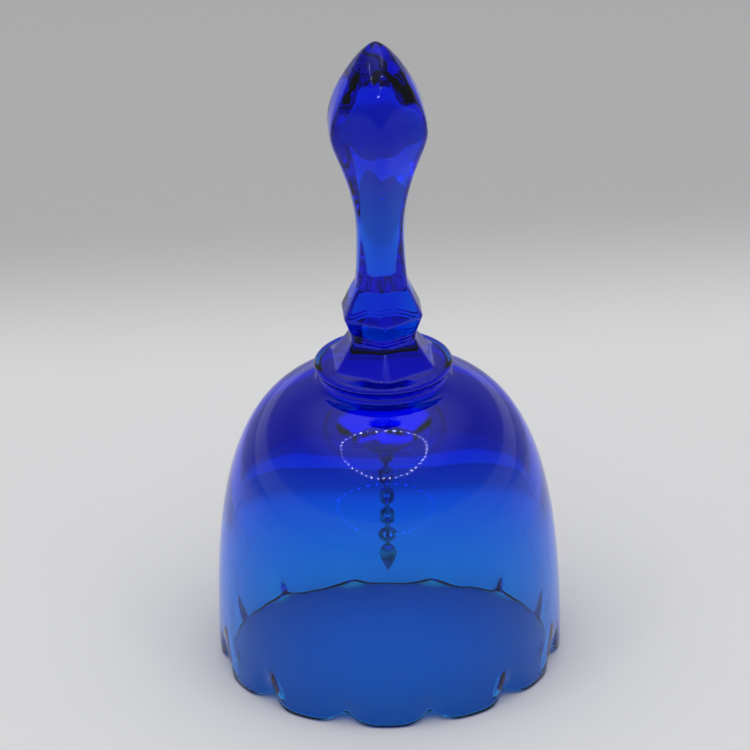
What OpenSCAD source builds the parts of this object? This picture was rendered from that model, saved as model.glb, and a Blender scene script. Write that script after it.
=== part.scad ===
// Pressed glass hand bell: a fluted dome cup with a scalloped rim, a six-sided handle
// with a faceted finial, and a pointed metal drop that hangs inside on a fine chain.
// The origin is the middle of the rim on the table. +Z runs up through the handle,
// and one long edge of the handle faces -Y.

/* [Cup] */
// Diameter across the lobes of the rim
rim_d = 79.2; // [70:1:90]
// Height from the table to the crown of the cup
cup_h = 70; // [64:1:78]
// Fullness of the shoulder, where 2 is a plain ellipse
shoulder_power = 3.5; // [3:0.05:4]
// Straightness of the wall above the rim, where 2 is a plain ellipse
wall_power = 2.8; // [2.4:0.05:3.2]
// Glass thickness at the rim
rim_wall = 2.6; // [2.2:0.1:3.4]
// Glass thickness at the crown
crown_wall = 11.8; // [11:0.1:13]
// Fullness and straightness of the cavity, as for the outside
cavity_shoulder_power = 3.3; // [2.8:0.05:3.5]
cavity_wall_power = 2.7; // [2.3:0.05:2.8]

/* [Rim] */
// Number of lobes round the rim
lobes = 12; // [10:1:14]
// Depth of the flutes between the lobes, at the rim
flute_depth = 2.4; // [1.6:0.1:3]
// How fast the flutes run out above the rim, in millimetres of depth per millimetre
flute_taper = 0.25; // [0.2:0.01:0.4]
// Height of the notch between two lobes
notch_h = 2.4; // [1.6:0.1:3]
// Width of the flat that each lobe stands on
lobe_flat = 5; // [3:0.5:7]
// Turn of the lobes about the axis, in degrees
lobe_turn = -5; // [-15:1:15]

/* [Handle] */
// Height of the whole bell
bell_h = 152; // [148:1:158]
// Diameter of the round foot plate under the handle
foot_d = 31.6; // [28:0.2:34]
// Thickness of the foot plate
foot_t = 2.2; // [1.8:0.1:2.8]
// Half width across the flats of the skirt where it meets the foot plate
skirt_r = 11.3; // [10:0.1:12]
// Half width across the flats of the collar under the knob
collar_r = 7.4; // [6.8:0.1:7.8]
// Half width across the flats of the knob
knob_r = 8.9; // [8.2:0.1:9.6]
// Half width across the flats of the stem at its waist
stem_r = 5.35; // [4.8:0.05:6]
// Half width across the flats of the finial
finial_r = 11; // [10:0.1:12]

/* [Chain] */
// Number of links between the hanger eye and the clapper's ring
links = 7; // [7:1:7]
// Distance from one link's hinge point to the next
link_pitch = 2.88; // [2.84:0.02:3.4]
// Wire diameter of the eye, the links and the ring
wire_d = 1; // [0.8:0.05:1.1]
// Play between two wires where they hang in each other
wire_gap = 0.08; // [0.05:0.01:0.15]

/* [Clapper] */
// Outer diameter of the ring that carries the drop
ring_d = 4.2; // [4:0.1:4.6]
// Largest diameter of the drop
drop_d = 4; // [3.4:0.1:4.6]
// Length of the drop below its loop
drop_l = 8.2; // [7:0.1:9]

/* [Hidden] */
$fn = 48;

glass_blue = [0.05, 0.16, 0.72, 0.5];
cement_grey = [0.75, 0.75, 0.7];
chain_brass = [0.78, 0.62, 0.3];

rim_r = rim_d / 2;
cavity_r = rim_r - rim_wall;
cavity_h = cup_h - crown_wall;
outer_powers = [shoulder_power, wall_power];
cavity_powers = [cavity_shoulder_power, cavity_wall_power];
// How far the arcs that shape the lobes would stand out from the wall
lobe_proud = 0.4;
// Height at which the flutes have run out everywhere
flute_h = 11;
// Radius of the ground land on the crown that the handle is joined to
land_r = 14.8;
// Radius of the flat pad that the plunger leaves at the top of the cavity
pad_r = 7;
// Height of the crown's land and of the cavity's ceiling
land_z = dome_z(land_r, rim_r, cup_h, outer_powers);
ceiling_z = dome_z(pad_r, cavity_r, cavity_h, cavity_powers);

// Short neck that carries the foot plate clear of the dome
neck_r = 14;
neck_h = 2.6;
foot_z = land_z + neck_h;
foot_top = foot_z + foot_t;

// Heights of the handle's stations above the table
collar_z = foot_top + 6.2;
knob_foot_z = foot_top + 8.8;
knob_z = foot_top + 12.4;
knob_top_z = foot_top + 19.5;
waist_z = foot_top + 31;
girdle_z = bell_h - 22;
shoulder_z = bell_h - 18.4;
knob_foot_r = collar_r + 0.3;
knob_top_r = stem_r + 0.55;
girdle_r = finial_r - 0.3;
// Powers that shape the skirt, the sweep under the finial and the finial's crown
skirt_power = 1.15;
sweep_power = 2.1;
sweep_round = 1.25;
crown_power = 1.6;
crown_root = 0.8;

// Cement bead at the ceiling, and the hinge height of the first link below it
bead_r = 4.6;
bead_h = 2.3;
eye_z = ceiling_z - 4.4;
// Radius of a link's bend on the wire's centre line, which keeps the play constant
bend_r = wire_d + wire_gap;
link_straight = link_pitch - bend_r;
// The eye's top stays this far below the ceiling, inside the cement
eye_cover = 0.4;
eye_straight = ceiling_z - eye_cover - wire_d / 2 - eye_z - 2 * bend_r;
ring_r = (ring_d - wire_d) / 2;
ring_hinge_z = eye_z - links * link_pitch;
drop_hinge_z = ring_hinge_z + bend_r - 2 * ring_r;
drop_power = 0.6;

// Height of a dome's curve at radius r, for base radius a, height h and powers p
function dome_z(r, a, h, p) = h * pow(1 - pow(r / a, p[0]), 1 / p[1]);

// Points of that curve from the base up to radius r_end
function dome_points(a, h, r_end, n, p) =
    let (t_end = acos(pow(r_end / a, p[0] / 2)))
    [for (i = [0 : n]) let (t = t_end * i / n)
        [a * pow(cos(t), 2 / p[0]), h * pow(sin(t), 2 / p[1])]];

// Distance from the axis to the middle of a lobe's arc, for a wall of radius a.
// The arc's tip stands proud of the wall, so a lobe is the wall's own curve in its middle.
function lobe_centre(a) =
    let (tip = a + lobe_proud, cusp = a - flute_depth)
    (tip * tip - cusp * cusp) / (2 * (tip - cusp * cos(180 / lobes)));

// Solid of revolution under a dome's curve, carried on straight down to z_low
module dome(a, h, r_end, n, p, z_low) {
    rotate_extrude()
        polygon(concat([[0, z_low], [a, z_low]],
            dome_points(a, h, r_end, n, p),
            [[0, dome_z(r_end, a, h, p)]]));
}

// Valleys between the lobes of a wall of radius a. Each one is a block that the cones of
// the two lobes beside it have been taken from, so it runs out where they pass the wall.
module flute_valleys(a, z_low) {
    c = lobe_centre(a);
    lobe_r = a + lobe_proud - c;
    inner = a - flute_depth - 1.5;
    half_w = a * sin(0.7 * 180 / lobes);
    over = 1;
    for (i = [0 : lobes - 1])
        rotate([0, 0, lobe_turn - 90 + (i + 0.5) * 360 / lobes])
            difference() {
                translate([inner, -half_w, z_low])
                    cube([a + 2 - inner, 2 * half_w, flute_h - z_low]);
                for (side = [-1, 1])
                    rotate([0, 0, side * 180 / lobes])
                        translate([c, 0, z_low - over])
                            cylinder(
                                r1 = lobe_r + flute_taper * (z_low - over),
                                r2 = lobe_r + flute_taper * (flute_h + over),
                                h = flute_h - z_low + 2 * over);
            }
}

// Dome with flutes at the foot of its wall
module fluted_dome(a, h, r_end, n, p, z_low) {
    difference() {
        dome(a, h, r_end, n, p, z_low);
        flute_valleys(a, z_low - 1);
    }
}

// Pointed arches cut up into the rim between the lobes
module rim_notches() {
    half_w = rim_r * sin(180 / lobes);
    half_flat = lobe_flat / 2;
    // Radius of a lobe's lower edge, which leaves the flat and rises by notch_h
    run = half_w - half_flat;
    edge_r = (run * run + notch_h * notch_h) / (2 * notch_h);
    reach = 2 * (rim_wall + flute_depth);
    for (i = [0 : lobes - 1])
        rotate([0, 0, lobe_turn - 90 + (i + 0.5) * 360 / lobes])
            translate([rim_r + 1, 0, 0])
                rotate([90, 0, -90])
                    linear_extrude(height = reach)
                        difference() {
                            translate([-run, -1])
                                square([2 * run, notch_h + 1]);
                            for (side = [-1, 1])
                                translate([side * run, edge_r])
                                    circle(r = edge_r);
                        }
}

// Cup before the notches are cut into its rim
module cup_shell() {
    difference() {
        fluted_dome(rim_r, cup_h, land_r, 14, outer_powers, 0);
        fluted_dome(cavity_r, cavity_h, pad_r, 14, cavity_powers, -1);
    }
}

module bell_cup() {
    color(glass_blue)
        difference() {
            cup_shell();
            rim_notches();
        }
}

// Half width across the flats at each height, from the foot plate up to the finial
function skirt_points(n) =
    [for (i = [0 : n]) let (t = i / n)
        [collar_r + (skirt_r - collar_r) * pow(1 - t, skirt_power),
         foot_top + (collar_z - foot_top) * t]];
function stem_points(n) =
    [for (i = [0 : n]) let (t = i / n, drop = 1 - t)
        [stem_r + (knob_top_r - stem_r) * pow(drop, 2),
         knob_top_z + (waist_z - knob_top_z) * t]];
function sweep_points(n) =
    [for (i = [1 : n]) let (t = i / n)
        [stem_r + (girdle_r - stem_r) * (1 - pow(1 - pow(t, sweep_power), sweep_round)),
         waist_z + (girdle_z - waist_z) * t]];
function crown_points(n) =
    [for (i = [0 : n - 1]) let (t = sin(90 * i / n))
        [(finial_r - 0.2) * pow(1 - pow(t, crown_power), crown_root),
         shoulder_z + (bell_h - shoulder_z) * t]];
handle_outline = concat(
    skirt_points(6),
    [[knob_foot_r, knob_foot_z], [knob_r, knob_z]],
    stem_points(5),
    sweep_points(9),
    [[finial_r, (girdle_z + shoulder_z) / 2]],
    crown_points(11));

// Plate as wide as the outline, with one pair of the handle's flats as its edges
module flat_pair() {
    left = [for (i = [len(handle_outline) - 1 : -1 : 0])
        [-handle_outline[i][0], handle_outline[i][1]]];
    rotate([90, 0, 0])
        linear_extrude(height = 4 * finial_r, center = true)
            polygon(concat(handle_outline, [[0, bell_h]], left));
}

module handle() {
    color(glass_blue)
        union() {
            translate([0, 0, land_z])
                cylinder(r = neck_r, h = neck_h + foot_t / 2);
            // Foot plate with a half-round edge
            rotate_extrude() {
                translate([0, foot_z])
                    square([(foot_d - foot_t) / 2, foot_t]);
                translate([(foot_d - foot_t) / 2, foot_z + foot_t / 2])
                    circle(d = foot_t);
            }
            intersection() {
                flat_pair();
                rotate([0, 0, 60])
                    flat_pair();
                rotate([0, 0, 120])
                    flat_pair();
            }
        }
}

// Bead of cement on the flat pad inside the crown, which holds the hanger eye
module crown_cement() {
    cap_r = (bead_r * bead_r + bead_h * bead_h) / (2 * bead_h);
    color(cement_grey)
        intersection() {
            translate([0, 0, ceiling_z + cap_r - bead_h])
                sphere(r = cap_r);
            translate([0, 0, ceiling_z - bead_h - 1])
                cylinder(r = bead_r + 1, h = bead_h + 1);
        }
}

// Half of a round wire bend, bulging up from the XY plane
module half_bend(r) {
    rotate([90, 0, 0])
        rotate_extrude(angle = 180)
            translate([r, 0])
                circle(d = wire_d);
}

// Closed wire loop in the XZ plane, with its upper bend centred on the origin
module wire_loop(straight) {
    half_bend(bend_r);
    for (side = [-1, 1])
        translate([side * bend_r, 0, -straight])
            cylinder(d = wire_d, h = straight);
    translate([0, 0, -straight])
        mirror([0, 0, 1])
            half_bend(bend_r);
}

// Wire eye whose upper half is set in the cement
module hanger_eye() {
    color(chain_brass)
        translate([0, 0, eye_z + bend_r + eye_straight])
            wire_loop(eye_straight);
}

// Link k hangs from the loop above it and lies across that loop's plane
module chain_link(k) {
    color(chain_brass)
        translate([0, 0, eye_z - (k - 1) * link_pitch])
            rotate([0, 0, 90 * (k % 2)])
                wire_loop(link_straight);
}

module clapper_ring() {
    color(chain_brass)
        translate([0, 0, ring_hinge_z + bend_r - ring_r])
            rotate([90, 0, 90 * ((links + 1) % 2)])
                rotate_extrude()
                    translate([ring_r, 0])
                        circle(d = wire_d);
}

// Cast drop with its own loop, round on top and drawn out to a blunt point
module clapper_drop() {
    steps = 16;
    color(chain_brass)
        translate([0, 0, drop_hinge_z])
            union() {
                rotate([90, 0, 90 * ((links + 2) % 2)])
                    rotate_extrude()
                        translate([bend_r, 0])
                            circle(d = wire_d);
                translate([0, 0, -bend_r - drop_l])
                    rotate_extrude()
                        polygon(concat([[0, 0]],
                            [for (i = [1 : steps]) let (t = 1 - i / (steps + 0.6))
                                [drop_d / 2 * sin(180 * pow(t, drop_power)), drop_l * (1 - t)]],
                            [[0, drop_l]]));
            }
}

bell_cup();
handle();
crown_cement();
hanger_eye();
chain_link(1);  // chain_link_01
chain_link(2);  // chain_link_02
chain_link(3);  // chain_link_03
chain_link(4);  // chain_link_04
chain_link(5);  // chain_link_05
chain_link(6);  // chain_link_06
chain_link(7);  // chain_link_07
clapper_ring();
clapper_drop();
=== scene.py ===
"""Looks of a pressed cobalt glass hand bell with a chain clapper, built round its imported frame."""

from __future__ import annotations

import logging
import math
from dataclasses import dataclass, field
from enum import Enum
from typing import Sequence

import bpy
import numpy as np
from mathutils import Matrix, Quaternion, Vector

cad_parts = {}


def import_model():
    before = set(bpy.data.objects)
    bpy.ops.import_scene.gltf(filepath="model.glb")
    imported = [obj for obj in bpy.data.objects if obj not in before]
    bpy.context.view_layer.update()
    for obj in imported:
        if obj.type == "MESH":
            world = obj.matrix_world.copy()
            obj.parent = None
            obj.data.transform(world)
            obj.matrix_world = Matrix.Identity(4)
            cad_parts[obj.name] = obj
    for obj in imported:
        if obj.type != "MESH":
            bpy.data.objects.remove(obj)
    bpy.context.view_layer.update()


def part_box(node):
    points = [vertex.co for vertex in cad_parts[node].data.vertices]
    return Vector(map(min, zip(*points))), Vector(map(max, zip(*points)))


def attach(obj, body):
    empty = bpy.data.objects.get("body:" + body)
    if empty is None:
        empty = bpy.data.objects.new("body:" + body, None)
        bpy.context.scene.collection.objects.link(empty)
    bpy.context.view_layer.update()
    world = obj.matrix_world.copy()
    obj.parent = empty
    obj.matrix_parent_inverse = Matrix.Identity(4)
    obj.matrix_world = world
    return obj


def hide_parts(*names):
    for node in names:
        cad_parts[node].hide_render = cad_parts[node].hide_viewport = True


LOG = logging.getLogger("glass_bell")
MM = 0.001


class Slot(Enum):
    """Material slot names of the record; the pieces built here do not read them."""

    GLASS = "cobalt_glass"
    METAL = "chain_metal"
    CEMENT = "cement"


class Plane(Enum):
    """The upright plane that a wire loop lies in."""

    XZ = 0
    YZ = 1

    @property
    def across(self) -> Vector:
        """Horizontal direction that runs along the loop's plane."""
        return Vector((1, 0, 0)) if self is Plane.XZ else Vector((0, 1, 0))

    @property
    def other(self) -> "Plane":
        """The plane of the loop that hangs in this one."""
        return Plane.YZ if self is Plane.XZ else Plane.XZ


# ---------------------------------------------------------------- shader maths


class Signal:
    """A number socket in a material that takes part in Python arithmetic."""

    def __init__(self, graph: "Graph", socket: bpy.types.NodeSocket) -> None:
        """Wraps a socket.

        Args:
            graph: The material's graph that the socket belongs to.
            socket: The output socket that gives the value.
        """
        self.graph = graph
        self.socket = socket

    def _combine(self, operation: str, first: object, second: object) -> "Signal":
        """Adds a Math node.

        Args:
            operation: The Math node's operation.
            first: The left value, a Signal or a number.
            second: The right value, a Signal or a number.

        Returns:
            The node's result.
        """
        return self.graph.node(
            "ShaderNodeMath", {"operation": operation}, {0: first, 1: second}
        )

    def __add__(self, other: object) -> "Signal":
        """Sum of two values."""
        return self._combine("ADD", self, other)

    __radd__ = __add__

    def __sub__(self, other: object) -> "Signal":
        """Difference of two values."""
        return self._combine("SUBTRACT", self, other)

    def __rsub__(self, other: object) -> "Signal":
        """Difference with the number on the left."""
        return self._combine("SUBTRACT", other, self)

    def __mul__(self, other: object) -> "Signal":
        """Product of two values."""
        return self._combine("MULTIPLY", self, other)

    __rmul__ = __mul__


class Graph:
    """The node graph of one material or world."""

    def __init__(self, owner: bpy.types.Material | bpy.types.World) -> None:
        """Starts an empty graph.

        Args:
            owner: The new material or world that the graph belongs to.
        """
        self.owner = owner
        owner.use_nodes = True
        self.tree = owner.node_tree
        self.tree.nodes.clear()

    @classmethod
    def of_material(cls, name: str) -> "Graph":
        """Starts a new material's graph."""
        return cls(bpy.data.materials.new(name))

    @classmethod
    def of_world(cls, name: str) -> "Graph":
        """Starts a new world's graph."""
        return cls(bpy.data.worlds.new(name))

    def node(
        self,
        kind: str,
        settings: dict[str, object] | None = None,
        inputs: dict[object, object] | None = None,
        output: object = 0,
    ) -> Signal | None:
        """Adds any node.

        Args:
            kind: The node's type, such as ShaderNodeTexNoise.
            settings: Properties that are set before the sockets.
            inputs: Socket name or number to a Signal, a number or a tuple.
            output: Name or number of the socket that is returned.

        Returns:
            The node's output socket, or None where it has none.
        """
        made = self.tree.nodes.new(kind)
        for key, value in (settings or {}).items():
            setattr(made, key, value)
        for key, value in (inputs or {}).items():
            if isinstance(value, Signal):
                self.tree.links.new(value.socket, made.inputs[key])
            else:
                made.inputs[key].default_value = value
        return Signal(self, made.outputs[output]) if made.outputs else None

    def place(self) -> Signal:
        """Position in the object's own metres, which is the row frame at rest."""
        return self.node("ShaderNodeTexCoord", output="Object")

    def noise(self, place: Signal, size: float, detail: float = 2.0) -> Signal:
        """Soft noise from 0 to 1.

        Args:
            place: Where the noise is read.
            size: Width of one blotch, in metres.
            detail: Number of finer octaves.

        Returns:
            The noise value.
        """
        inputs = {"Vector": place, "Scale": 1 / size, "Detail": detail}
        return self.node("ShaderNodeTexNoise", {}, inputs, "Fac")

    def mix(self, factor: object, first: object, second: object) -> Signal:
        """Colour between two colours.

        Args:
            factor: 0 gives the first and 1 the second.
            first: An RGBA tuple or a colour socket.
            second: An RGBA tuple or a colour socket.

        Returns:
            The mixed colour.
        """
        settings = {"data_type": "RGBA"}
        return self.node("ShaderNodeMix", settings, {0: factor, 6: first, 7: second}, 2)

    def band(self, value: Signal, low: float, high: float) -> Signal:
        """Smooth step of a value.

        Args:
            value: The value that is tested.
            low: Where the step starts from 0.
            high: Where the step reaches 1.

        Returns:
            A value from 0 to 1.
        """
        settings = {"interpolation_type": "SMOOTHSTEP"}
        inputs = {"Value": value, "From Min": low, "From Max": high}
        return self.node("ShaderNodeMapRange", settings, inputs)

    def bump(self, height: Signal, depth: float) -> Signal:
        """Surface relief from a height.

        Args:
            height: Height from 0 to 1.
            depth: Height of a full step, in metres.

        Returns:
            The bent normal.
        """
        inputs = {"Height": height, "Distance": depth, "Strength": 1.0}
        return self.node("ShaderNodeBump", {}, inputs)

    def finish(self, surface: Signal, volume: Signal | None = None) -> bpy.types.Material:
        """Joins the shaders to the material's output.

        Args:
            surface: The surface shader.
            volume: The volume shader of a filled solid.

        Returns:
            The finished material.
        """
        inputs = {"Surface": surface}
        if volume is not None:
            inputs["Volume"] = volume
        self.node("ShaderNodeOutputMaterial", {}, inputs)
        return self.owner


@dataclass(frozen=True)
class CobaltGlass:
    """Clear pressed glass, deep blue in its mass, fire-polished and handled."""

    refraction: float = 1.5
    absorbed: tuple[float, float, float, float] = (0.0, 0.785, 0.9925, 1.0)
    density: float = 900.0
    surface_tint: tuple[float, float, float, float] = (0.55, 0.93, 1.0, 1.0)
    sheen_tint: tuple[float, float, float, float] = (0.5, 0.55, 0.7, 1.0)
    ripple_size: float = 9 * MM
    ripple_depth: float = 0.05 * MM
    smear_size: float = 22 * MM
    polish: float = 0.008
    smear_haze: float = 0.03

    def build(self) -> bpy.types.Material:
        """Makes the material.

        Returns:
            Glass whose colour comes from its thickness, with faint pressing ripples.
        """
        graph = Graph.of_material("cobalt_glass")
        place = graph.place()
        ripple = graph.noise(place, self.ripple_size, 1.0)
        smear = graph.noise(place, self.smear_size, 3.0)
        roughness = self.polish + self.smear_haze * graph.band(smear, 0.55, 0.8)
        surface = graph.node(
            "ShaderNodeBsdfPrincipled",
            {},
            {
                "Base Color": self.surface_tint,
                "Roughness": roughness,
                "IOR": self.refraction,
                "Specular Tint": self.sheen_tint,
                "Transmission Weight": 1.0,
                "Normal": graph.bump(ripple, self.ripple_depth),
            },
        )
        volume = graph.node(
            "ShaderNodeVolumeAbsorption",
            {},
            {"Color": self.absorbed, "Density": self.density},
        )
        return graph.finish(surface, volume)


@dataclass(frozen=True)
class ChainBrass:
    """Dulled brass wire with darker tarnished patches."""

    bright: tuple[float, float, float, float] = (0.9, 0.78, 0.52, 1.0)
    dull: tuple[float, float, float, float] = (0.5, 0.38, 0.2, 1.0)
    tarnish_size: float = 2.2 * MM
    grain_size: float = 0.25 * MM
    grain_depth: float = 0.02 * MM

    def build(self) -> bpy.types.Material:
        """Makes the material.

        Returns:
            Metal that varies between bright and tarnished brass.
        """
        graph = Graph.of_material("chain_brass")
        place = graph.place()
        tarnish = graph.band(graph.noise(place, self.tarnish_size, 4.0), 0.4, 0.68)
        grain = graph.noise(place, self.grain_size, 3.0)
        surface = graph.node(
            "ShaderNodeBsdfPrincipled",
            {},
            {
                "Base Color": graph.mix(tarnish, self.bright, self.dull),
                "Metallic": 1.0,
                "Roughness": 0.24 + 0.22 * tarnish,
                "Normal": graph.bump(grain, self.grain_depth),
            },
        )
        return graph.finish(surface)


@dataclass(frozen=True)
class HangerCement:
    """Cured grey-white glass cement with fine grit."""

    pale: tuple[float, float, float, float] = (0.62, 0.62, 0.56, 1.0)
    dark: tuple[float, float, float, float] = (0.42, 0.41, 0.36, 1.0)
    grit_size: float = 0.5 * MM
    grit_depth: float = 0.08 * MM

    def build(self) -> bpy.types.Material:
        """Makes the material.

        Returns:
            A satin, gritty filler.
        """
        graph = Graph.of_material("hanger_cement")
        place = graph.place()
        grit = graph.noise(place, self.grit_size, 4.0)
        surface = graph.node(
            "ShaderNodeBsdfPrincipled",
            {},
            {
                "Base Color": graph.mix(grit, self.dark, self.pale),
                "Roughness": 0.45 + 0.2 * grit,
                "Normal": graph.bump(grit, self.grit_depth),
            },
        )
        return graph.finish(surface)


@dataclass(frozen=True)
class SweepPaper:
    """Pale studio paper, greyed behind the subject by painted shade where the light falls off."""

    near: tuple[float, float, float, float] = (0.74, 0.74, 0.74, 1.0)
    # Painted shade: the darker far colour stands in for light falling off behind the bell.
    far: tuple[float, float, float, float] = (0.46, 0.46, 0.462, 1.0)
    turn: tuple[float, float] = (140 * MM, 240 * MM)
    fibre_size: float = 1.4 * MM
    fibre_depth: float = 0.04 * MM

    def build(self) -> bpy.types.Material:
        """Makes the material.

        Returns:
            Matt paper that darkens across its depth, painted shade standing in for the light falling
            off behind the bell.
        """
        graph = Graph.of_material("sweep_paper")
        place = graph.place()
        depth = graph.node("ShaderNodeSeparateXYZ", {}, {0: place}, "Y")
        fibre = graph.noise(place, self.fibre_size, 4.0)
        # Painted shade: blends from the near colour to the darker far colour across the depth.
        painted_falloff = graph.band(depth, *self.turn)
        surface = graph.node(
            "ShaderNodeBsdfPrincipled",
            {},
            {
                "Base Color": graph.mix(painted_falloff, self.near, self.far),
                "Roughness": 0.85,
                "Specular IOR Level": 0.2,
                "Normal": graph.bump(fibre, self.fibre_depth),
            },
        )
        return graph.finish(surface)


# ---------------------------------------------------------------- mesh building


@dataclass(frozen=True)
class Ring:
    """One turn of a lathe surface, in millimetres for each direction round the axis."""

    radius: np.ndarray
    height: np.ndarray


@dataclass(frozen=True)
class Round:
    """The directions round the axis at which every ring has a point."""

    count: int = 288

    @property
    def angle(self) -> np.ndarray:
        """Angles in radians, from +X towards +Y."""
        return np.arange(self.count) * (2 * math.pi / self.count)

    def ring(self, radius: object, height: object) -> Ring:
        """Makes a ring from numbers or arrays.

        Args:
            radius: Distance from the axis, in millimetres.
            height: Height above the table, in millimetres.

        Returns:
            The ring, with one value per direction.
        """
        level = np.zeros(self.count)
        return Ring(level + radius, level + height)


def soft_min(first: np.ndarray, second: np.ndarray, blend: float) -> np.ndarray:
    """Smaller of two values, rounded off where they meet.

    Args:
        first: One value.
        second: The other value.
        blend: Size of the rounding, in the values' own unit.

    Returns:
        The blended minimum.
    """
    half_gap = (first - second) / 2
    return (first + second) / 2 - np.sqrt(half_gap**2 + blend**2)


def lathe_mesh(name: str, rings: Sequence[Ring], grid: Round) -> bpy.types.Mesh:
    """Skins rings into one closed, smooth mesh with a point at each end.

    Args:
        name: The mesh's name.
        rings: Rings from the first pole to the last.
        grid: The directions round the axis.

    Returns:
        The mesh, in metres.
    """
    count = grid.count
    xyz = [
        np.stack(
            [r.radius * np.cos(grid.angle), r.radius * np.sin(grid.angle), r.height], 1
        )
        for r in rings
    ]
    poles = [(0, 0, float(rings[0].height.mean())), (0, 0, float(rings[-1].height.mean()))]
    points = np.concatenate([*xyz, poles]) * MM
    here = np.arange(count)
    after = (here + 1) % count
    faces: list[tuple[int, ...]] = []
    for row in range(len(rings) - 1):
        low, high = row * count, (row + 1) * count
        quads = np.stack([low + here, low + after, high + after, high + here], 1)
        faces += [tuple(int(i) for i in quad) for quad in quads]
    first_pole, last_pole = len(points) - 2, len(points) - 1
    top = (len(rings) - 1) * count
    faces += [(first_pole, int(b), int(a)) for a, b in zip(here, after)]
    faces += [(last_pole, int(top + a), int(top + b)) for a, b in zip(here, after)]
    return smooth_mesh(name, points, faces)


def smooth_mesh(
    name: str, points: np.ndarray, faces: Sequence[tuple[int, ...]]
) -> bpy.types.Mesh:
    """Makes a smooth-shaded mesh.

    Args:
        name: The mesh's name.
        points: Corner positions, in metres.
        faces: Corner numbers of each face.

    Returns:
        The mesh.
    """
    mesh = bpy.data.meshes.new(name)
    mesh.from_pydata([tuple(p) for p in points], [], faces)
    mesh.validate()
    mesh.shade_smooth()
    return mesh


def tube_mesh(
    name: str, path: np.ndarray, thickness: np.ndarray, sides: int = 20
) -> bpy.types.Mesh:
    """Sweeps a round section along a closed, flat path.

    Args:
        name: The mesh's name.
        path: Points of the centre line, in millimetres.
        thickness: The wire's radius at each point, in millimetres.
        sides: Points round the section.

    Returns:
        The mesh, in metres.
    """
    count = len(path)
    along = np.roll(path, -1, 0) - np.roll(path, 1, 0)
    along /= np.linalg.norm(along, axis=1)[:, None]
    flat_normal = np.cross(path[1] - path[0], path[count // 3] - path[0])
    flat_normal /= np.linalg.norm(flat_normal)
    outward = np.cross(along, flat_normal)
    turn = np.arange(sides) * (2 * math.pi / sides)
    section = (
        np.cos(turn)[None, :, None] * outward[:, None]
        + np.sin(turn)[None, :, None] * flat_normal[None, None]
    )
    points = (path[:, None] + section * thickness[:, None, None]).reshape(-1, 3) * MM
    faces = []
    for i in range(count):
        j = (i + 1) % count
        for a in range(sides):
            b = (a + 1) % sides
            quad = (i * sides + a, i * sides + b, j * sides + b, j * sides + a)
            faces.append(quad)
    return smooth_mesh(name, points, faces)


def add_piece(
    name: str,
    mesh: bpy.types.Mesh,
    material: bpy.types.Material,
    body: str,
    nodes: Sequence[str],
) -> bpy.types.Object:
    """Puts a mesh in the scene as a piece of the bell.

    Args:
        name: The piece's name.
        mesh: Its mesh, in place in the row frame.
        material: Its finish.
        body: The body that it rides on.
        nodes: The frame's nodes that it stands for.

    Returns:
        The new object.
    """
    piece = bpy.data.objects.new(name, mesh)
    bpy.context.scene.collection.objects.link(piece)
    mesh.materials.append(material)
    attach(piece, body)
    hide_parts(*nodes)
    LOG.info("%s: %d faces on %s", name, len(mesh.polygons), body)
    return piece


# ---------------------------------------------------------------- the glass


@dataclass(frozen=True)
class LobeForm:
    """The lobes and flutes that the mould gives the cup's lower wall."""

    count: int = 12
    turn_deg: float = -5.0
    flute_depth: float = 2.4
    notch_height: float = 2.4
    crease: float = 0.14
    crease_growth: float = 0.07
    taper: float = 0.27
    fade_height: float = 16.0
    valley_power: float = 1.2
    notch_power: float = 1.85

    def swell(self, angle: np.ndarray, crease: float) -> np.ndarray:
        """How far each direction is from a lobe's middle.

        Args:
            angle: Directions round the axis, in radians.
            crease: Rounding of the cusps, where 0 is a sharp crease.

        Returns:
            0 in the middle of a lobe and 1 at a cusp.
        """
        phase = (angle + math.pi / 2 - math.radians(self.turn_deg)) * self.count / 2
        rise = np.sqrt(np.cos(phase) ** 2 + crease**2)
        high = math.sqrt(1 + crease**2)
        return 1 - (rise - crease) / (high - crease)

    def outline(self, tip: float, height: float, angle: np.ndarray) -> np.ndarray:
        """Radius of the lobed outline, whose valleys run out as it rises.

        Args:
            tip: Radius at the middle of each lobe, at the rim.
            height: Height above the table.
            angle: Directions round the axis, in radians.

        Returns:
            The radius in each direction.
        """
        crease = self.crease + self.crease_growth * height
        valley = self.flute_depth * self.swell(angle, crease) ** self.valley_power
        return tip + self.taper * height - valley

    def rim_height(self, angle: np.ndarray) -> np.ndarray:
        """Height of the scalloped rim above the table."""
        return self.notch_height * self.swell(angle, self.crease) ** self.notch_power


@dataclass(frozen=True)
class DomeCurve:
    """The outline of one face of the cup, from the rim up over the shoulder."""

    base: float
    height: float
    shoulder_power: float = 3.5
    wall_power: float = 2.8

    def points(self, end: float, count: int) -> list[tuple[float, float]]:
        """Points along the curve.

        Args:
            end: Radius at which the curve stops, near the crown.
            count: Number of points.

        Returns:
            Pairs of radius and height, from the rim to the crown.
        """
        last = math.acos((end / self.base) ** (self.shoulder_power / 2))
        spread = np.linspace(0, 1, count) ** 1.15 * last
        return [
            (
                self.base * math.cos(t) ** (2 / self.shoulder_power),
                self.height * math.sin(t) ** (2 / self.wall_power),
            )
            for t in spread
        ]


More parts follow.
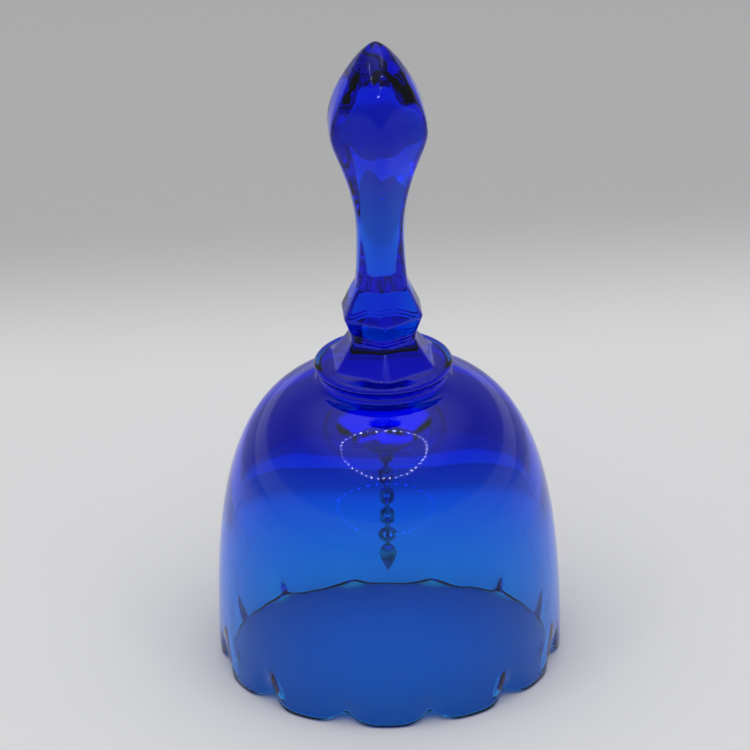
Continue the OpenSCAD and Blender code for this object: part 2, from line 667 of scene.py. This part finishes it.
@dataclass(frozen=True)
class PressedCup:
    """The cup: dome, fluted wall and rounded, scalloped lip."""

    rim_radius: float
    grid: Round
    cup_height: float = 70.0
    rim_wall: float = 2.6
    crown_wall: float = 11.8
    land_radius: float = 14.8
    cavity_shoulder_power: float = 3.3
    cavity_wall_power: float = 2.7
    pad_radius: float = 7.0
    lip_roll: float = 0.9
    lip_power: float = 0.6
    proud: float = 0.35
    blend: float = 0.28
    lobes: LobeForm = field(default_factory=LobeForm)

    def wall(self, curve: DomeCurve, end: float, count: int) -> list[Ring]:
        """Rings of one face of the wall, from above the lip to the crown.

        Args:
            curve: The face's dome curve.
            end: Radius at which the rings stop.
            count: Number of rings.

        Returns:
            The rings, from the rim upwards.
        """
        angle = self.grid.angle
        tip = curve.base + self.proud
        start = self.lobes.rim_height(angle) + self.lip_roll
        rings = []
        for radius, height in curve.points(end, count):
            fade = max(0.0, 1 - height / self.lobes.fade_height) ** 2
            outline = self.lobes.outline(tip, height, angle)
            fluted = soft_min(radius, outline, self.blend)
            rings.append(self.grid.ring(fluted, height + start * fade))
        return rings

    def lip(self, outer: Ring, inner: Ring, count: int = 13) -> list[Ring]:
        """Rings that roll round the rim's edge.

        Args:
            outer: The lowest ring of the outer face.
            inner: The lowest ring of the inner face.
            count: Number of rings between them.

        Returns:
            The rings from the inner face to the outer one.
        """
        middle = (outer.radius + inner.radius) / 2
        half = (outer.radius - inner.radius) / 2
        base = self.lobes.rim_height(self.grid.angle)
        rings = []
        for turn in np.linspace(math.pi, 0, count + 2)[1:-1]:
            out = math.copysign(abs(math.cos(turn)) ** self.lip_power, math.cos(turn))
            drop = math.sin(turn) ** self.lip_power
            height = base + self.lip_roll * (1 - drop)
            rings.append(Ring(middle + half * out, height))
        return rings

    def inner_rings(self) -> list[Ring]:
        """Rings of the cavity, from the middle of its ceiling down to the lip."""
        curve = DomeCurve(
            base=self.rim_radius - self.rim_wall,
            height=self.cup_height - self.crown_wall,
            shoulder_power=self.cavity_shoulder_power,
            wall_power=self.cavity_wall_power,
        )
        wall = self.wall(curve, self.pad_radius, 58)
        ceiling = float(wall[-1].height.mean())
        pad = [self.grid.ring(self.pad_radius * s, ceiling) for s in (0.12, 0.45, 0.8)]
        return pad + wall[::-1]

    def outer_rings(self) -> list[Ring]:
        """Rings of the outer face, from the lip up to the crown's land."""
        curve = DomeCurve(self.rim_radius, self.cup_height)
        return self.wall(curve, self.land_radius + 0.6, 66)

    def rings(self) -> list[Ring]:
        """All the cup's rings, from the ceiling, round the lip and up to the land."""
        inner = self.inner_rings()
        outer = self.outer_rings()
        return inner + self.lip(outer[0], inner[-1]) + outer


@dataclass(frozen=True)
class PressedHandle:
    """The handle: foot plate, six-sided skirt, collar, knob, stem and finial."""

    land_height: float
    top: float
    foot_radius: float
    grid: Round
    neck_radius: float = 14.0
    neck_height: float = 2.6
    neck_fillet: float = 1.3
    foot_thickness: float = 2.2
    skirt_half: float = 11.3
    skirt_height: float = 6.2
    skirt_sink: float = 0.05
    collar_half: float = 7.4
    collar_height: float = 2.6
    collar_flare: float = 0.3
    collar_ripple: float = 0.1
    knob_half: float = 8.9
    knob_rise: float = 3.6
    knob_fall: float = 7.1
    stem_half: float = 5.35
    stem_height: float = 11.5
    stem_flare: float = 0.55
    finial_half: float = 11.0
    girdle_drop: float = 22.0
    girdle_height: float = 3.6
    crisp: float = 24.0
    stem_crisp: float = 11.0
    waist_crisp: float = 6.5
    girdle_crisp: float = 18.0
    tip_crisp: float = 3.2

    @property
    def foot_top(self) -> float:
        """Height of the foot plate's upper face."""
        return self.land_height + self.neck_height + self.foot_thickness

    @property
    def collar_top(self) -> float:
        """Height at which the collar meets the knob."""
        return self.foot_top + self.skirt_height + self.collar_height

    @property
    def stem_foot(self) -> float:
        """Height at which the knob runs into the stem."""
        return self.collar_top + self.knob_rise + self.knob_fall

    @property
    def waist(self) -> float:
        """Height at which the stem is thinnest."""
        return self.stem_foot + self.stem_height

    @property
    def girdle(self) -> float:
        """Height at which the finial's widest band starts."""
        return self.top - self.girdle_drop

    def hexagon(self, half: float, sharpness: float) -> np.ndarray:
        """Radius of a six-sided section with softened edges.

        Args:
            half: Half width across the flats.
            sharpness: Power of the blend, larger for crisper edges.

        Returns:
            The radius in each direction.
        """
        total = np.zeros(self.grid.count)
        for side in range(6):
            facing = np.cos(self.grid.angle - side * math.pi / 3)
            total += np.maximum(facing, 0) ** sharpness
        flat = 1 + 2 * 0.5**sharpness
        return half * (flat / total) ** (1 / sharpness)

    def six_sided(self, half: float, sharpness: float, height: float) -> Ring:
        """Level ring of the hexagon's section."""
        return self.grid.ring(self.hexagon(half, sharpness), height)

    def neck_rings(self) -> list[Ring]:
        """Rings of the short neck, from its fillet up to the foot plate."""
        foot = self.land_height + self.neck_height
        fillet = self.neck_fillet
        rings = []
        for s in np.linspace(0, 1, 7):
            bend = math.radians(90 * s)
            radius = self.neck_radius + fillet * (1 - math.sin(bend))
            rings.append(self.grid.ring(radius, self.land_height + fillet * (1 - math.cos(bend))))
        for out, below in ((0.0, 0.5), (0.15, 0.12), (0.5, 0.0)):
            rings.append(self.grid.ring(self.neck_radius + out, foot - below))
        return rings

    def foot_rings(self) -> list[Ring]:
        """Rings of the round foot plate, round its half-round edge."""
        edge = self.foot_thickness / 2
        centre = self.foot_radius - edge
        rings = [self.grid.ring(centre - 0.6, self.land_height + self.neck_height)]
        for turn in np.linspace(-90, 90, 15):
            out = edge * math.cos(math.radians(turn))
            rise = edge * math.sin(math.radians(turn))
            rings.append(self.grid.ring(centre + out, self.foot_top - edge + rise))
        rings.append(self.grid.ring(centre - 0.5, self.foot_top))
        return rings

    def skirt_rings(self) -> list[Ring]:
        """Rings of the sloping skirt and of the collar above it."""
        rings = []
        low = self.foot_top + self.skirt_sink
        for s in np.linspace(0, 1, 16):
            half = self.collar_half + (self.skirt_half - self.collar_half) * (1 - s) ** 1.15
            height = low + (self.skirt_height - self.skirt_sink) * s
            rings.append(self.six_sided(half, self.crisp + 2, height))
        low = self.foot_top + self.skirt_height
        for s in np.linspace(0, 1, 15)[1:]:
            ripple = self.collar_ripple * math.sin(s * 3 * math.pi) ** 2
            half = self.collar_half + self.collar_flare * s - ripple
            rings.append(self.six_sided(half, self.crisp - 8, low + self.collar_height * s))
        return rings

    def knob_rings(self) -> list[Ring]:
        """Rings of the knob, out from the collar and in again to the stem."""
        rings = []
        foot = self.collar_half + self.collar_flare
        for s in np.linspace(0, 1, 9)[1:]:
            half = foot + (self.knob_half - foot) * s
            rings.append(self.six_sided(half, self.crisp, self.collar_top + self.knob_rise * s))
        low = self.collar_top + self.knob_rise
        end = self.stem_half + self.stem_flare
        for s in np.linspace(0, 1, 14)[1:]:
            half = self.knob_half + (end - self.knob_half) * s
            sharpness = self.crisp + (self.stem_crisp - self.crisp) * s**2
            rings.append(self.six_sided(half, sharpness, low + self.knob_fall * s))
        return rings

    def stem_rings(self) -> list[Ring]:
        """Rings of the stem, whose edges are softest at the waist."""
        rings = []
        for s in np.linspace(0, 1, 14)[1:]:
            half = self.stem_half + self.stem_flare * (1 - s) ** 2
            soften = (self.stem_crisp - self.waist_crisp) * math.sin(math.pi / 2 * s)
            height = self.stem_foot + self.stem_height * s
            rings.append(self.six_sided(half, self.stem_crisp - soften, height))
        return rings

    def finial_rings(self) -> list[Ring]:
        """Rings of the finial: the sweep out of the stem, the girdle and the crown."""
        rings = []
        widest = self.finial_half - 0.3
        crisper = self.girdle_crisp - self.waist_crisp
        for s in np.linspace(0, 1, 34)[1:]:
            swell = 1 - (1 - s**2.1) ** 1.25
            half = self.stem_half + (widest - self.stem_half) * swell
            height = self.waist + (self.girdle - self.waist) * s
            rings.append(self.six_sided(half, self.waist_crisp + crisper * s**1.5, height))
        for s in (0.2, 0.4, 0.6, 0.8):
            half = widest + 0.25 * math.sin(math.pi * s)
            height = self.girdle + self.girdle_height * s
            rings.append(self.six_sided(half, self.girdle_crisp, height))
        shoulder = self.girdle + self.girdle_height
        crisper = self.girdle_crisp - self.tip_crisp
        for s in np.linspace(0, 1, 40)[:-1]:
            t = math.sin(math.pi / 2 * s)
            half = (self.finial_half - 0.2) * (1 - t**1.35) ** 0.66
            sharpness = self.tip_crisp + crisper * (1 - t) ** 1.5
            rings.append(self.six_sided(half, sharpness, shoulder + (self.top - shoulder) * t))
        return rings

    def rings(self) -> list[Ring]:
        """All the handle's rings, from the crown's land to the tip."""
        plate = self.neck_rings() + self.foot_rings()
        shaft = self.skirt_rings() + self.knob_rings() + self.stem_rings()
        return plate + shaft + self.finial_rings()


@dataclass
class GlassBody:
    """The bell's glass: cup and handle fused into one solid, as they are pressed."""

    glass: bpy.types.Material
    cup: PressedCup
    handle: PressedHandle

    @classmethod
    def from_frame(cls, glass: bpy.types.Material) -> "GlassBody":
        """Sizes the glass from the frame's cup and handle.

        Args:
            glass: The glass finish.

        Returns:
            The glass body, ready to build.
        """
        cup_low, cup_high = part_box("bell_cup")
        handle_low, handle_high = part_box("handle")
        grid = Round()
        rim_radius = (cup_high.x - cup_low.x) / 2 / MM
        land = cup_high.z / MM
        cup = PressedCup(rim_radius=rim_radius, grid=grid)
        handle = PressedHandle(
            land_height=land,
            top=handle_high.z / MM,
            foot_radius=(handle_high.x - handle_low.x) / 2 / MM,
            grid=grid,
        )
        return cls(glass, cup, handle)

    def build(self) -> bpy.types.Object:
        """Makes the fused glass.

        Returns:
            The glass piece.
        """
        rings = self.cup.rings() + self.handle.rings()
        mesh = lathe_mesh("glass_body", rings, self.cup.grid)
        return add_piece(
            "glass_body", mesh, self.glass, "bell", ["bell_cup", "handle"]
        )


# ---------------------------------------------------------------- the clapper


@dataclass
class ClapperChain:
    """Hanger eye, links, ring and drop, each a piece on its own body."""

    metal: bpy.types.Material
    cement: bpy.types.Material
    wire: float = 0.5
    bend: float = 1.08
    seam_gap: float = 0.05
    links: int = 7
    drop_power: float = 0.6
    seam_height: float = 0.012

    def loop_path(self, top: Vector, straight: float, plane: Plane) -> np.ndarray:
        """Centre line of an oval wire loop.

        Args:
            top: Middle of the loop's upper bend, in millimetres.
            straight: Length of the straight sides.
            plane: The plane that the loop lies in.

        Returns:
            Points round the loop.
        """
        across = np.array(plane.across)
        up = np.array((0.0, 0.0, 1.0))
        centre = np.array(top)
        points = []
        for turn in np.linspace(0, math.pi, 25):
            points.append(centre + self.bend * (across * math.cos(turn) + up * math.sin(turn)))
        low = centre - up * straight
        for turn in np.linspace(math.pi, 2 * math.pi, 25):
            points.append(low + self.bend * (across * math.cos(turn) + up * math.sin(turn)))
        return np.array(points)

    def wire_thickness(self, count: int, seam_at: int) -> np.ndarray:
        """Wire radius along a loop, pinched a little at the closing seam.

        Args:
            count: Number of points on the loop.
            seam_at: The point at the seam.

        Returns:
            The radius at each point.
        """
        radius = np.full(count, self.wire)
        radius[seam_at] -= self.seam_gap
        return radius

    def build_eye(self) -> None:
        """Makes the wire eye that is set in the cement."""
        low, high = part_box("hanger_eye")
        top = Vector((0, 0, high.z / MM - self.wire - self.bend))
        straight = (high.z - low.z) / MM - 2 * (self.wire + self.bend)
        path = self.loop_path(top, straight, Plane.XZ)
        mesh = tube_mesh("hanger_eye_wire", path, self.wire_thickness(len(path), 12))
        add_piece("hanger_eye_wire", mesh, self.metal, "bell", ["hanger_eye"])

    def build_links(self) -> None:
        """Makes the links, each across the plane of the one above."""
        plane = Plane.YZ
        for number in range(1, self.links + 1):
            node = f"chain_link_{number:02d}"
            name = f"link_wire_{number:02d}"
            low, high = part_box(node)
            top = Vector((0, 0, high.z / MM - self.wire - self.bend))
            straight = (high.z - low.z) / MM - 2 * (self.wire + self.bend)
            path = self.loop_path(top, straight, plane)
            seam = 25 if number % 2 else 49
            mesh = tube_mesh(name, path, self.wire_thickness(len(path), seam))
            add_piece(name, mesh, self.metal, f"link_{number:02d}", [node])
            plane = plane.other

    def build_ring(self) -> None:
        """Makes the round ring above the drop."""
        low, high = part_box("clapper_ring")
        radius = (high.x - low.x) / 2 / MM - self.wire
        centre = (high.z + low.z) / 2 / MM
        turns = np.linspace(0, 2 * math.pi, 56, endpoint=False)
        path = np.stack(
            [radius * np.cos(turns), np.zeros(56), centre + radius * np.sin(turns)], 1
        )
        mesh = tube_mesh("ring_wire", path, self.wire_thickness(56, 3))
        add_piece("ring_wire", mesh, self.metal, "ring", ["clapper_ring"])

    def build_drop(self) -> None:
        """Makes the cast drop and its loop."""
        low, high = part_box("clapper_drop")
        radius = (high.x - low.x) / 2 / MM
        hinge = high.z / MM - self.wire - self.bend
        top = hinge - self.bend
        length = top - low.z / MM
        grid = Round(64)
        steps = 48
        rings = []
        for i in range(1, steps):
            t = 1 - i / (steps + 0.6)
            swell = radius * math.sin(math.pi * t**self.drop_power)
            seam = 1 + self.seam_height * np.abs(np.sin(grid.angle)) ** 40
            rings.append(grid.ring(swell * seam, low.z / MM + length * (1 - t)))
        cast = lathe_mesh("drop_cast", rings, grid)
        add_piece("drop_cast", cast, self.metal, "drop", ["clapper_drop"])
        turns = np.linspace(0, 2 * math.pi, 48, endpoint=False)
        path = np.stack(
            [np.zeros(48), self.bend * np.cos(turns), hinge + self.bend * np.sin(turns)], 1
        )
        loop = tube_mesh("drop_loop", path, np.full(48, self.wire))
        add_piece("drop_loop", loop, self.metal, "drop", ["clapper_drop"])

    def build_cement(self) -> None:
        """Makes the slumped bead of cement round the eye."""
        low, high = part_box("crown_cement")
        radius = (high.x - low.x) / 2 / MM
        depth = (high.z - low.z) / MM
        top = high.z / MM
        grid = Round(96)
        rings = [grid.ring(radius * s, top + 0.03) for s in (0.3, 0.7, 0.96)]
        wave = 0.05 * np.sin(3 * grid.angle + 0.7) + 0.03 * np.sin(7 * grid.angle)
        for s in np.linspace(0, 1, 18)[:-1]:
            turn = math.pi / 2 * s
            out = radius * math.cos(turn) ** 0.8 * (1 + wave * math.cos(turn)) * 0.95
            rings.append(grid.ring(out, top - depth * math.sin(turn) ** 1.2 * 0.99))
        mesh = lathe_mesh("cement_bead", rings, grid)
        add_piece("cement_bead", mesh, self.cement, "bell", ["crown_cement"])

    def build(self) -> None:
        """Makes every piece of the clapper."""
        self.build_cement()
        self.build_eye()
        self.build_links()
        self.build_ring()
        self.build_drop()


# ---------------------------------------------------------------- the studio


@dataclass
class Studio:
    """Pale floor, soft light and the camera."""

    distance: float = 1.2
    elevation_deg: float = 27.0
    azimuth_deg: float = -3.5
    lean_deg: float = 1.5
    lens: float = 254.0
    aim_height: float = 69.8 * MM
    aim_left: float = 1.95 * MM
    room_level: float = 0.335
    overhead_level: float = 1.1
    overhead_band: tuple[float, float] = (0.55, 1.0)
    low_wall_level: float = 0.35
    low_wall_band: tuple[float, float] = (0.16, 0.21)
    room_tone: tuple[float, float, float, float] = (0.985, 0.99, 1.0, 1.0)
    lamp_centre: tuple[float, float, float] = (-0.03, -0.3, 0.75)
    lamp_ring_radius: float = 0.4
    lamp_count: int = 40
    lamp_size: float = 24 * MM
    lamp_power: float = 0.045
    floor_half: float = 3.0

    def build_floor(self) -> None:
        """Lays the sheet of paper that the bell stands on."""
        half = self.floor_half
        corners = [(-half, -half, 0), (half, -half, 0), (half, half, 0), (-half, half, 0)]
        mesh = bpy.data.meshes.new("floor")
        mesh.from_pydata(corners, [], [(0, 1, 2, 3)])
        floor = bpy.data.objects.new("floor", mesh)
        bpy.context.scene.collection.objects.link(floor)
        mesh.materials.append(SweepPaper().build())

    def hang_ring_lamp(self) -> None:
        """Hangs a ring of small round lamps that face the bell."""
        centre = Vector(self.lamp_centre)
        facing = (Vector((0, 0, 80 * MM)) - centre).to_track_quat("-Z", "Y")
        for number in range(self.lamp_count):
            turn = 2 * math.pi * number / self.lamp_count
            light = bpy.data.lights.new(f"ring_lamp_{number:02d}", "AREA")
            light.shape = "DISK"
            light.size = self.lamp_size
            light.energy = self.lamp_power
            holder = bpy.data.objects.new(light.name, light)
            offset = Vector((math.cos(turn), math.sin(turn), 0)) * self.lamp_ring_radius
            holder.location = centre + facing @ offset
            holder.rotation_mode = "QUATERNION"
            holder.rotation_quaternion = facing
            bpy.context.scene.collection.objects.link(holder)

    def light(self) -> None:
        """Sets a soft grey room, brighter overhead and low down, and the ring lamp."""
        graph = Graph.of_world("soft_room")
        toward = graph.node("ShaderNodeTexCoord", output="Generated")
        height = graph.node("ShaderNodeSeparateXYZ", {}, {0: toward}, "Z")
        overhead = graph.band(height, *self.overhead_band)
        low_wall = 1 - graph.band(height, *self.low_wall_band)
        strength = self.room_level + self.overhead_level * overhead
        strength = strength + self.low_wall_level * low_wall
        inputs = {"Color": self.room_tone, "Strength": strength}
        room = graph.node("ShaderNodeBackground", {}, inputs)
        graph.node("ShaderNodeOutputWorld", {}, {"Surface": room})
        bpy.context.scene.world = graph.owner
        self.hang_ring_lamp()

    def place_camera(self) -> None:
        """Sets the camera at the viewing angle, with its slight lean."""
        azimuth, elevation = math.radians(self.azimuth_deg), math.radians(self.elevation_deg)
        back = Vector(
            (
                math.sin(azimuth) * math.cos(elevation),
                -math.cos(azimuth) * math.cos(elevation),
                math.sin(elevation),
            )
        )
        right = Vector((math.cos(azimuth), math.sin(azimuth), 0))
        aim = Vector((0, 0, self.aim_height)) - right * self.aim_left
        camera = bpy.data.cameras.new("camera")
        camera.lens = self.lens
        camera.sensor_width = 36.0
        camera.clip_start, camera.clip_end = 0.05, 20.0
        holder = bpy.data.objects.new("camera", camera)
        holder.location = aim + back * self.distance
        holder.rotation_mode = "QUATERNION"
        lean = Quaternion((0, 0, 1), math.radians(-self.lean_deg))
        holder.rotation_quaternion = (-back).to_track_quat("-Z", "Y") @ lean
        bpy.context.scene.collection.objects.link(holder)
        bpy.context.scene.camera = holder

    def build(self) -> None:
        """Makes the whole studio."""
        self.place_camera()
        self.build_floor()
        self.light()
        bpy.context.scene.view_settings.view_transform = "Standard"


def main() -> None:
    """Builds the bell round its frame."""
    logging.basicConfig(level=logging.INFO, format="%(name)s: %(message)s")
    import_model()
    Studio().build()
    GlassBody.from_frame(CobaltGlass().build()).build()
    ClapperChain(ChainBrass().build(), HangerCement().build()).build()
    bpy.context.view_layer.update()


if __name__ == "__main__":
    main()
